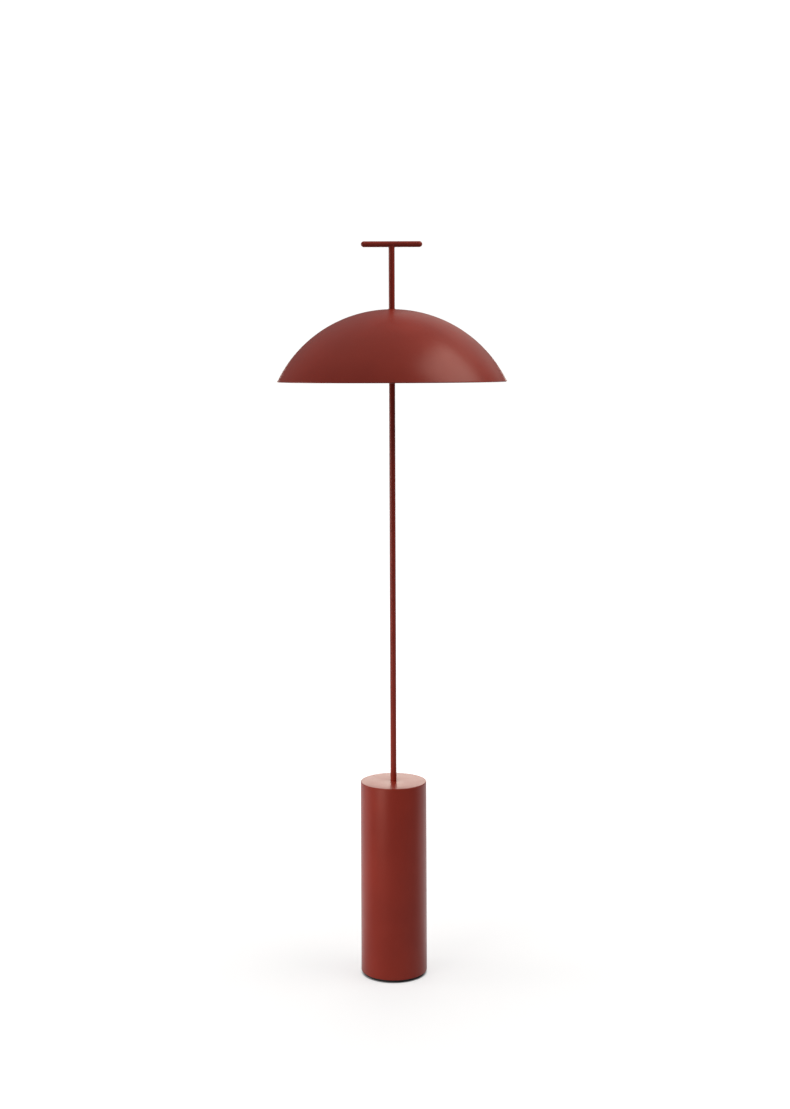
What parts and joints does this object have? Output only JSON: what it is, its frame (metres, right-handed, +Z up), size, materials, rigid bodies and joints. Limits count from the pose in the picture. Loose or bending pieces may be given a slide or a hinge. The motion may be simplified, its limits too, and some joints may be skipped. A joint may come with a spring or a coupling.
{
  "type": "floor lamp",
  "caption": "Floor lamp: spun dome shade on a slim stem over a weighted round base, T-shaped carrying handle on top, finned LED head with a push-button dimmer under the dome.",
  "frame": {"origin": "on the floor, at the centre of the base", "axes": "+Z up along the stem, X along the handle's bar, -Y the front with the push button, +Y the back with the cable inlet"},
  "size_m": [0.4, 0.4, 1.27],
  "materials": {
    "brick_powder_coat": "satin brick-red powder coat on steel",
    "brick_powder_coat_aluminium": "satin brick-red powder coat on spun or turned aluminium",
    "black_rubber": "matt moulded rubber",
    "grey_cast_iron": "as cast, machined faces",
    "zinc_plated_steel": "bright zinc plate",
    "black_oxide_steel": "black oxide",
    "turned_brass": "turned",
    "cast_aluminium": "die-cast, bead blasted",
    "board_white_mask": "white solder mask on a metal-core board",
    "led_phosphor": "silicone phosphor in a white package",
    "opal_polycarbonate": "opal, satin",
    "white_nylon": "moulded",
    "black_nylon": "moulded, fine grain",
    "driver_case": "moulded polycarbonate",
    "lead_sheath": "white silicone sheath"
  },
  "bodies": {
    "lamp": {"base_shell": "brick_powder_coat", "base_foot_ring": "black_rubber", "bottom_plate": "zinc_plated_steel", "ballast_weight": "grey_cast_iron", "mounting_ring": "zinc_plated_steel", "base_screws": "black_oxide_steel", "cable_grommet": "black_rubber", "stem_socket": "zinc_plated_steel", "stem_tube": "brick_powder_coat", "stem_nipple": "turned_brass", "stem_lock_washer": "zinc_plated_steel", "stem_nut": "zinc_plated_steel", "driver_bracket": "zinc_plated_steel", "bracket_screws": "zinc_plated_steel", "led_driver": "driver_case", "driver_screws": "zinc_plated_steel", "terminal_block": "white_nylon", "terminal_screws": "turned_brass", "head_coupler": "brick_powder_coat_aluminium", "coupler_grub_screws": "black_oxide_steel", "heat_sink": "cast_aluminium", "sink_screws": "zinc_plated_steel", "led_board": "board_white_mask", "led_chips": "led_phosphor", "board_screws": "zinc_plated_steel", "board_connector": "white_nylon", "diffuser": "opal_polycarbonate", "hub_cover": "brick_powder_coat_aluminium", "hub_screws": "black_oxide_steel", "switch_housing": "black_nylon", "switch_ring_nut": "zinc_plated_steel", "switch_cap": "black_nylon", "switch_terminals": "turned_brass", "switch_spring": "zinc_plated_steel", "shade": "brick_powder_coat_aluminium", "shade_saddle": "cast_aluminium", "handle_stud": "zinc_plated_steel", "crown_washer": "brick_powder_coat_aluminium", "handle_rod": "brick_powder_coat", "handle_bar": "brick_powder_coat", "head_lead": "lead_sheath"},
    "button": {"dimmer_button": "brick_powder_coat_aluminium"}
  },
  "joints": [
    {"name": "dimmer_press", "type": "slide", "parent": "lamp", "child": "button", "axis": [0, 0, 1], "range_m": [0, 0.0015], "stiffness_N_per_m": 400, "springref_m": -0.003, "deforming": ["switch_spring"]}
  ]
}
